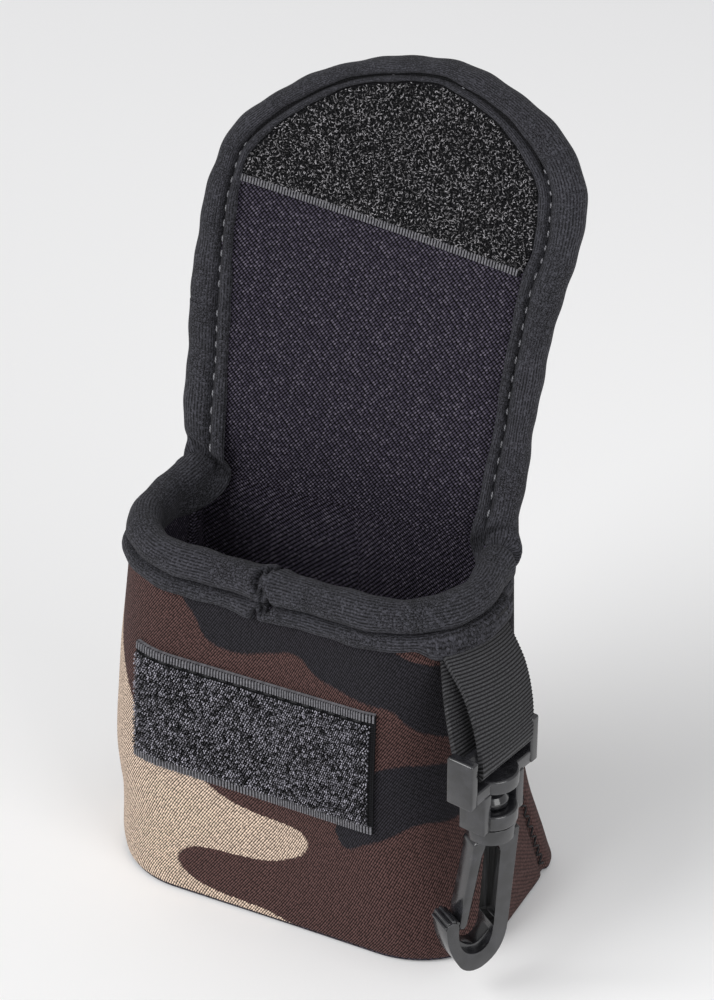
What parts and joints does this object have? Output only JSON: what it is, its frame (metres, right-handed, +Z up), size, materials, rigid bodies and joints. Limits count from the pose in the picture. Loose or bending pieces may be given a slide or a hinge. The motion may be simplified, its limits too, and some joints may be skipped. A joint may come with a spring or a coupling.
{
  "type": "neoprene action camera case",
  "caption": "Padded neoprene pouch with a rounded fold-over flap, hook-and-loop closure, bound edges and a webbing loop carrying a swivel snap hook.",
  "frame": {"origin": "middle of the flat underside that the case stands on", "axes": "+X to the case's right seen from the front, +Y to the back, +Z up"},
  "size_m": [0.0915, 0.0654, 0.1623],
  "materials": {
    "camouflage_neoprene": "matt knitted face in tan, brown and charcoal camouflage",
    "black_neoprene": "matt knitted face, black with a violet tint",
    "binding_tape": "charcoal ribbed jersey",
    "hook_tape": "dense nylon hooks with a slight gloss",
    "loop_tape": "fuzzy nylon loops",
    "webbing": "ribbed black nylon",
    "acetal": "satin black moulding"
  },
  "bodies": {
    "pouch": {"front_side_wrap": "camouflage_neoprene", "back_panel": "camouflage_neoprene", "bottom_panel": "camouflage_neoprene", "mouth_binding": "binding_tape", "hook_tape_patch": "hook_tape"},
    "flap_bridge": {"flap_bridge_panel": "black_neoprene", "flap_bridge_binding_right": "binding_tape", "flap_bridge_binding_left": "binding_tape"},
    "flap_tongue": {"flap_tongue_panel": "black_neoprene", "flap_tongue_binding": "binding_tape", "loop_tape_patch": "loop_tape"},
    "webbing": {"webbing_loop": "webbing"},
    "snap_eye": {"swivel_eye": "acetal"},
    "snap_hook": {"snap_hook": "acetal"},
    "hook_gate": {"hook_gate": "acetal"}
  },
  "joints": [
    {"name": "flap_fold", "type": "hinge", "parent": "pouch", "child": "flap_bridge", "pos_m": [0, 0.0115, 0.0825], "axis": [1, 0, 0], "range_deg": [-90, 102]},
    {"name": "flap_bend", "type": "hinge", "parent": "flap_bridge", "child": "flap_tongue", "pos_m": [0, 0.02011, 0.12299], "axis": [1, 0, 0], "range_deg": [0, 90]},
    {"name": "webbing_swing", "type": "hinge", "parent": "pouch", "child": "webbing", "pos_m": [0.03644, -0.01475, 0.0689], "axis": [-0.4695, -0.8829, 0], "range_deg": [0, 45]},
    {"name": "eye_swing", "type": "hinge", "parent": "webbing", "child": "snap_eye", "pos_m": [0.04391, -0.02356, 0.0555], "axis": [-0.1736, -0.9848, 0], "range_deg": [0, 70]},
    {"name": "hook_swivel", "type": "hinge", "parent": "snap_eye", "child": "snap_hook", "pos_m": [0.04391, -0.02356, 0.0401], "axis": [0, 0, 1], "continuous": true},
    {"name": "gate_spring", "type": "hinge", "parent": "snap_hook", "child": "hook_gate", "pos_m": [0.04203, -0.02615, 0.03545], "axis": [0.809, -0.5878, 0], "range_deg": [0, 14], "stiffness_Nm_per_rad": 0.1}
  ]
}
